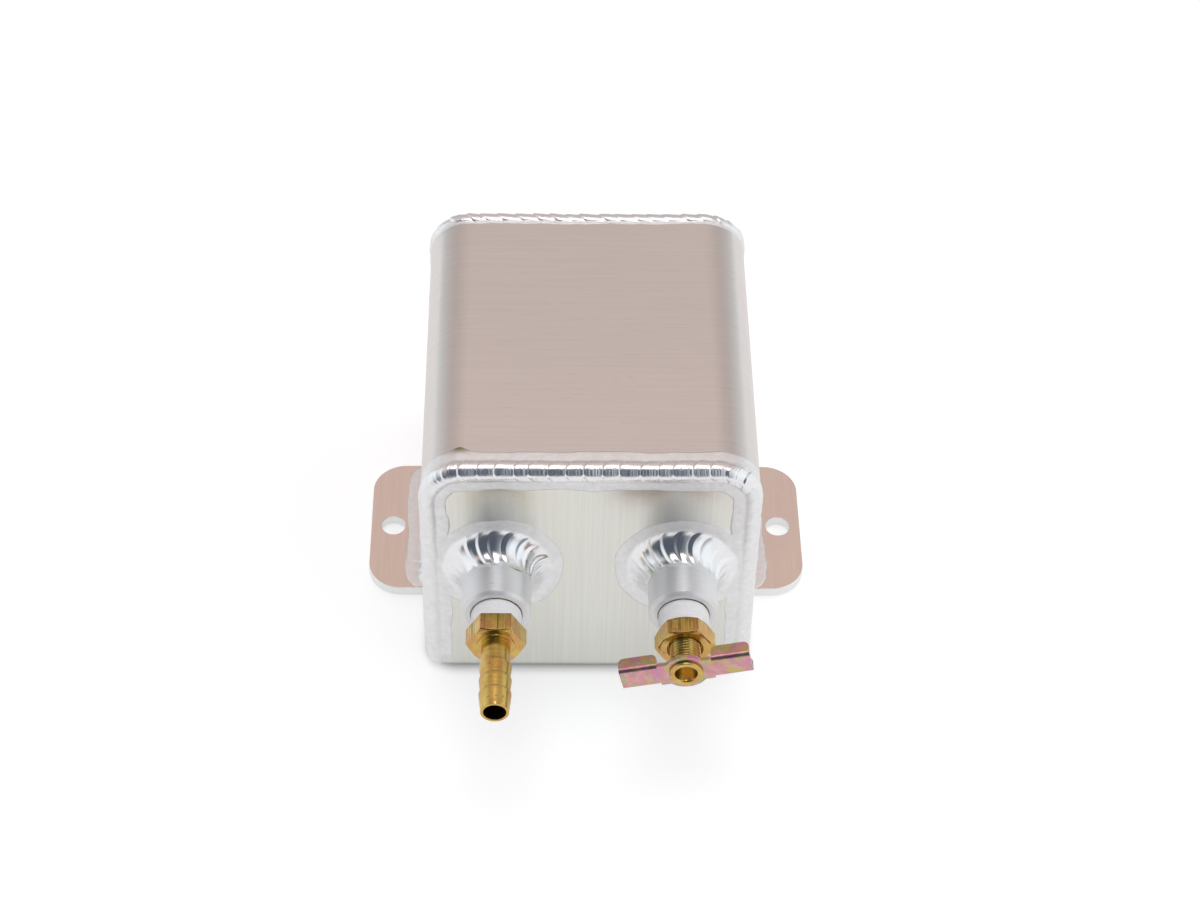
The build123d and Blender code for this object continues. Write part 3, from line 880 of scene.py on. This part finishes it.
def long_seam(sign, step):
    """Outside corner between a side and the back."""
    length = 2 * (half_length - long_end_inset)
    travel = np.linspace(0, length, round(length / step) + 1)
    count = len(travel)
    y = travel - length / 2
    past = np.clip((abs(y) - half_length + long_curl_start) / (long_curl_start - long_end_inset), 0, 1)
    x = half_width - long_curl * (1 - np.sqrt(1 - past ** 2))
    corner = np.stack([sign * x, y, np.zeros(count)], axis=1)
    return {"corner": corner, "normal_a": np.tile([sign, 0.0, 0.0], (count, 1)),
            "normal_b": np.tile([0.0, 0.0, -1.0], (count, 1)), "travel": travel, "length": length,
            "side": -1.0, "root": long_root, "closed": False}


for name, node, sign, seed in (("left_long_bead", "left_long_weld", -1.0, 41),
                               ("right_long_bead", "right_long_weld", 1.0, 42)):
    seam = long_seam(sign, 0.25 * MM)
    ripples = {"count": round(seam["length"] / long_ripple), "depth": 0.14 * MM, "lip": 0.20,
               "bow": -0.8 * MM, "way": -1, "steps": 13, "edge": 1.0, "grain": 1.0}
    frost = np.full(len(seam["travel"]), 0.35)
    bead = lay_bead(name, seam, (long_leg, long_leg), long_sag, (long_margin, long_margin), ripples, frost,
                    seed)
    stand_in(bead, "tank", "weld_metal", node)

# %% [markdown]
# ## Softened edges
# No machined or stamped edge is truly sharp: it has a tiny round that catches the light. `soften` copies
# a node's mesh, joins its triangles, bevels the edges that turn by more than a given angle, and lets the
# copy stand for the node.


# %% Write the edge softener
def soften(node, width, material, body, slot, least_turn=28.0, segments=2):
    """Stand-in for a node with a small round on its edges."""
    work = bmesh.new()
    work.from_mesh(nodes[node].data)
    bmesh.ops.remove_doubles(work, verts=work.verts, dist=0.002 * MM)
    bmesh.ops.dissolve_limit(work, angle_limit=math.radians(0.5), verts=work.verts, edges=work.edges)
    least = math.radians(least_turn)
    sharp = [edge for edge in work.edges if edge.is_manifold and edge.calc_face_angle() > least]
    bmesh.ops.bevel(work, geom=sharp, offset=width, offset_type="OFFSET", segments=segments, profile=0.5,
                    affect="EDGES", clamp_overlap=True)
    mesh = bpy.data.meshes.new(node + "_soft")
    work.to_mesh(mesh)
    work.free()
    mesh.shade_smooth()
    mesh.set_sharp_from_angle(angle=math.radians(40))
    mesh.materials.append(material)
    piece = bpy.data.objects.new(node + "_soft", mesh)
    scene.collection.objects.link(piece)
    weighted = piece.modifiers.new("even_shading", "WEIGHTED_NORMAL")
    weighted.keep_sharp = True
    stand_in(piece, body, slot, node)
    print(f"{piece.name}: {len(sharp)} edges softened, {len(mesh.polygons)} faces")


# %% Soften the tabs
for node in ("left_mount_tab", "right_mount_tab"):
    soften(node, 0.28 * MM, tab_metal, "tank", "tab_plate")

# %% [markdown]
# ## Turned bungs
# The bungs were turned on a lathe, so their marks run round the axis. The rims are chamfered and shine.


# %% Finish the bungs
def turned_colour(tree):
    """Pale metal with fine rings and slow clouds."""
    line = effect(tree, "Turned", Fineness=2300.0, Contrast=1.3)
    cloud = effect(tree, "Clouds", Scale=120.0, Contrast=1.2)
    tone = calc(tree, "MULTIPLY", calc(tree, "ADD", line, cloud), 0.5)
    return mix(tree, tone, rgb(0.78, 0.785, 0.79), rgb(0.93, 0.935, 0.94))


def turned_roughness(tree):
    """Satin, a little uneven."""
    return remap(tree, effect(tree, "Clouds", Scale=240.0, Contrast=1.0), 0.40, 0.52)


def turned_height(tree):
    """Tool marks round the axis."""
    return effect(tree, "Turned", Fineness=3400.0, Contrast=1.0)


turned_aluminium = metal("turned_aluminium", turned_colour, turned_roughness, turned_height, 0.012 * MM, 0.75,
                         turned_tangent, 0.65)
for node in ("inlet_bung", "drain_bung"):
    soften(node, 0.12 * MM, turned_aluminium, "tank", "turned_aluminium")

# %% [markdown]
# ## A drop of spatter
# A small drop flew from the arc and froze on top of the inlet bung.

# %% Set the drop
drop_radius = 0.7 * MM
drop_stretch = (1.0, 1.15, 0.55)
drop_left = 1.2 * MM
drop_out = 14.8 * MM
drop_sink = 0.05 * MM
drop_place = Vector((inlet_x - drop_left, -half_length - drop_out, bung_height + bung_radius - drop_sink))
drop_mesh = bpy.data.meshes.new("spatter_drop")
work = bmesh.new()
bmesh.ops.create_uvsphere(work, u_segments=20, v_segments=12, radius=drop_radius)
bmesh.ops.scale(work, vec=drop_stretch, verts=work.verts)
bmesh.ops.translate(work, vec=drop_place, verts=work.verts)
work.to_mesh(drop_mesh)
work.free()
drop_mesh.shade_smooth()
drop_mesh.materials.append(turned_aluminium)
drop = bpy.data.objects.new("spatter_drop", drop_mesh)
scene.collection.objects.link(drop)
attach(drop, "tank")
print("drop set at", tuple(round(value * 1000, 1) for value in drop_place))

# %% [markdown]
# ## Brass
# The barb and the petcock are turned from brass bar. Handling has left copper-coloured stains and some
# grey spots, which are blotches. The turned parts have rings, and the hexagons keep the drawn bar's lines:
# the distance from the end plate tells the two apart.


# %% Make the brass finish
hexagon_back = 22.5 * MM
hexagon_front = 28.6 * MM


def hexagon_zone(tree):
    """1 on the hexagons, where the marks run along the bar."""
    place = add(tree, "SeparateXYZ", {0: add(tree, "TexCoord").outputs["Object"]})
    out = calc(tree, "SUBTRACT", -half_length, place.outputs["Y"])
    past_back = calc(tree, "GREATER_THAN", out, hexagon_back)
    return calc(tree, "MULTIPLY", past_back, calc(tree, "LESS_THAN", out, hexagon_front))


def brass_colour(tree):
    """Brass with marks, dark scratches on the hexagons, stains and spots."""
    line = effect(tree, "Turned", Fineness=1900.0, Contrast=1.6)
    streak = effect(tree, "Grain", Stretch=(1700, 50, 1700), Contrast=3.6)
    cloud = effect(tree, "Clouds", Scale=170.0, Contrast=1.4)
    lines = calc(tree, "MULTIPLY_ADD", hexagon_zone(tree), calc(tree, "SUBTRACT", streak, line), line)
    tone = calc(tree, "MULTIPLY", calc(tree, "ADD", lines, cloud), 0.5)
    brass = mix(tree, tone, rgb(0.46, 0.31, 0.065), rgb(0.76, 0.565, 0.18))
    scratch = calc(tree, "MULTIPLY", soft_step(tree, streak, 0.42, 0.10), hexagon_zone(tree))
    brass = mix(tree, calc(tree, "MULTIPLY", scratch, 0.75), brass, rgb(0.17, 0.115, 0.03))
    stain = effect(tree, "Blotches", Scale=170.0, Cover=0.50, Softness=0.09, Shift=(0.31, 0.0, 0.12))
    brass = mix(tree, calc(tree, "MULTIPLY", stain, 0.60), brass, rgb(0.56, 0.27, 0.11))
    spot = effect(tree, "Blotches", Scale=420.0, Cover=0.33, Softness=0.05, Shift=(0.07, 0.4, 0.2))
    return mix(tree, calc(tree, "MULTIPLY", spot, 0.65), brass, rgb(0.24, 0.20, 0.12))


def brass_roughness(tree):
    """Worn from polished to satin."""
    return remap(tree, effect(tree, "Clouds", Scale=260.0, Contrast=1.4), 0.13, 0.30)


def brass_height(tree):
    """Rings on the turned parts and lines along the hexagons."""
    line = effect(tree, "Turned", Fineness=2400.0, Contrast=1.0)
    streak = effect(tree, "Grain", Stretch=(2300, 70, 2300), Contrast=2.0)
    return calc(tree, "MULTIPLY_ADD", hexagon_zone(tree), calc(tree, "SUBTRACT", streak, line), line)


brass = metal("brass", brass_colour, brass_roughness, brass_height, 0.014 * MM, 0.3, turned_tangent)
soften("hose_barb", 0.14 * MM, brass, "tank", "brass")
soften("petcock_body", 0.14 * MM, brass, "tank", "brass")

# %% [markdown]
# ## Lathe with a screw thread
# The petcock's stem is cut with a fine thread. A lathe mesh spins an outline about an axis, and where the
# outline is marked as threaded its radius also swings with the angle, which turns plain rings into one
# continuous helix.

# %% Spin the threaded stem
stem_low, stem_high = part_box("petcock_stem")
stem_radius = 8.5 / 2 * MM
stem_bore_radius = 6.0 / 2 * MM
spigot_radius = 7.2 / 2 * MM
flare_radius = 9.2 / 2 * MM
flare_round = 0.3 * MM
flare_thickness = 0.8 * MM
handle_sheet = 1.2 * MM
thread_pitch = 0.9 * MM
thread_depth = 0.42 * MM
thread_lead_in = 0.3 * MM
thread_step = 0.09 * MM
valve_length = 8.0 * MM
valve_radius = 3.5 * MM
cone_length = 1.8 * MM
cone_tip_radius = 1.7 * MM
gallery_radius = 1.5 * MM
gallery_end = 2.0 * MM
gallery_reach = 3.0 * MM
bore_end = 4.5 * MM


def spin(name, outline, x, segments, swing, material):
    """Closed lathe mesh about a bung's axis. swing(y, angle, marked) is added to the radius."""
    radius = np.array([point[0] for point in outline])[:, None]
    y = np.array([point[1] for point in outline])[:, None]
    marked = np.array([point[2] for point in outline])[:, None]
    angle = np.linspace(0, 2 * math.pi, segments, endpoint=False)[None, :]
    reach = np.maximum(radius + swing(y, angle, marked), 0)
    z = bung_height + reach * np.sin(angle)
    points = np.stack([x + reach * np.cos(angle), y + 0 * angle, z], axis=-1)
    mesh = grid_mesh(name, points.transpose(1, 0, 2), True)
    work = bmesh.new()
    work.from_mesh(mesh)
    bmesh.ops.remove_doubles(work, verts=work.verts, dist=0.0005 * MM)
    bmesh.ops.recalc_face_normals(work, faces=work.faces)
    work.to_mesh(mesh)
    work.free()
    mesh.shade_smooth()
    mesh.set_sharp_from_angle(angle=math.radians(50))
    mesh.materials.append(material)
    piece = bpy.data.objects.new(name, mesh)
    scene.collection.objects.link(piece)
    print(f"{name}: {len(mesh.polygons)} faces")
    return piece


def stem_outline():
    """Stem from the flare inwards and back out through its bore, threaded ahead of the cone."""
    flare_front = stem_low.y
    flare_back = flare_front + flare_thickness
    shoulder = flare_back + handle_sheet
    thread_end = stem_high.y - valve_length
    gallery = stem_high.y - gallery_end
    threaded = np.arange(shoulder + thread_lead_in, thread_end, thread_step)
    outline = [(stem_bore_radius + flare_round, flare_front, 0), (flare_radius - flare_round, flare_front, 0),
               (flare_radius - 0.3 * flare_round, flare_front + 0.3 * flare_round, 0),
               (flare_radius, flare_front + flare_round, 0), (flare_radius, flare_back, 0),
               (spigot_radius, flare_back, 0), (spigot_radius, shoulder, 0),
               (stem_radius - thread_depth, shoulder, 0)]
    outline += [(stem_radius, y, 1) for y in threaded]
    outline += [(valve_radius, thread_end, 0), (valve_radius, stem_high.y - cone_length, 0),
                (cone_tip_radius, stem_high.y, 0), (0.0, stem_high.y, 0), (0.0, gallery, 0),
                (gallery_radius, gallery, 0), (gallery_radius, thread_end - gallery_reach, 0),
                (stem_bore_radius, thread_end - bore_end, 0),
                (stem_bore_radius, flare_front + flare_round, 0)]
    return outline


def thread_swing(y, angle, marked):
    """Right-hand thread: round crests with narrower roots."""
    turns = y / thread_pitch + angle / (2 * math.pi)
    return -marked * thread_depth * (0.5 - 0.5 * np.cos(2 * math.pi * turns)) ** 1.3


stem = spin("petcock_stem_threaded", stem_outline(), drain_x, 96, thread_swing, brass)
stand_in(stem, "stem", "brass", "petcock_stem")

# %% [markdown]
# ## Thread tape
# White tape is wound on the pipe threads before they are screwed in. It follows the threads beneath, so
# its surface is a soft screw with small wrinkles, and its colour is an almost pure white.


# %% Make and wind the tape
def make_tape_finish():
    """Soft white plastic film."""
    material = bpy.data.materials.new("thread_tape")
    material.use_nodes = True
    tree = material.node_tree
    tree.nodes.clear()
    cloud = effect(tree, "Clouds", Scale=700.0, Contrast=1.4)
    line = effect(tree, "Turned", Fineness=2600.0, Contrast=1.2)
    colour = mix(tree, calc(tree, "MULTIPLY", calc(tree, "ADD", cloud, line), 0.5), rgb(0.93, 0.935, 0.945),
                 rgb(0.99, 0.99, 0.995))
    shader = add(tree, "BsdfPrincipled", {"Base Color": colour, "Roughness": remap(tree, cloud, 0.42, 0.62)})
    bump = add(tree, "Bump", {"Height": line, "Strength": 1.0, "Distance": 0.015 * MM})
    tree.links.new(bump.outputs[0], shader.inputs["Normal"])
    add(tree, "OutputMaterial", {"Surface": shader.outputs[0]})
    return material


tape_finish = make_tape_finish()
pipe_pitch = 1.41 * MM
pipe_slope = 1 / 32
tape_swell = 0.13 * MM
tape_wall = 0.22 * MM
tape_rings = 64


def tape_swing(y, angle, marked):
    """Thread ridges under the tape, and wrinkles along it."""
    turns = y / pipe_pitch + angle / (2 * math.pi)
    ridge = (0.5 + 0.5 * np.cos(2 * math.pi * turns)) ** 0.7
    wrinkle = np.sin(7 * angle + 3.6 * y / MM) * np.sin(3 * angle - 2.1) * 0.25
    return marked * tape_swell * (ridge - 0.5 + 0.25 * wrinkle)


for node, x in (("barb_thread_tape", inlet_x), ("petcock_thread_tape", drain_x)):
    low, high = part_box(node)
    outer = (high.x - low.x) / 2
    inner_end = outer - pipe_slope * (high.y - low.y)
    outline = [(outer - pipe_slope * (y - low.y), y, 1) for y in np.linspace(low.y, high.y, tape_rings)]
    outline += [(inner_end - tape_wall, high.y, 0), (outer - tape_wall, low.y, 0)]
    tape = spin(node + "_wound", outline, x, 128, tape_swing, tape_finish)
    stand_in(tape, "tank", "thread_tape", node)

# %% [markdown]
# ## Passivated wing handle
# The handle is stamped steel with a zinc coat that was dipped for colour. The film is so thin that it
# shows pink, gold, green and blue in patches. Each tint is a blotch mask over the last.


# %% Finish the handle
def plated_colour(tree):
    """Pink film with patches of violet, gold, green and blue."""
    cloud = effect(tree, "Clouds", Scale=300.0, Contrast=1.8)
    colour = mix(tree, cloud, rgb(0.52, 0.25, 0.26), rgb(0.80, 0.43, 0.44))
    for scale, cover, tint, shift in ((260.0, 0.44, rgb(0.62, 0.28, 0.40), (0.2, 0.1, 0.0)),
                                      (330.0, 0.43, rgb(0.55, 0.47, 0.15), (0.0, 0.3, 0.5)),
                                      (420.0, 0.39, rgb(0.34, 0.45, 0.22), (0.5, 0.2, 0.1)),
                                      (520.0, 0.34, rgb(0.36, 0.55, 0.53), (0.7, 0.6, 0.3))):
        patch = effect(tree, "Blotches", Scale=scale, Cover=cover, Softness=0.06, Shift=shift)
        colour = mix(tree, calc(tree, "MULTIPLY", patch, 0.85), colour, tint)
    return colour


def plated_roughness(tree):
    """Satin, a little uneven."""
    return remap(tree, effect(tree, "Clouds", Scale=420.0, Contrast=1.3), 0.22, 0.40)


def plated_height(tree):
    """Fine grain of the plating."""
    return effect(tree, "Clouds", Scale=1600.0, Contrast=1.0)


zinc_plate = metal("zinc_plate", plated_colour, plated_roughness, plated_height, 0.02 * MM)
soften("wing_handle", 0.12 * MM, zinc_plate, "handle", "zinc_plate")
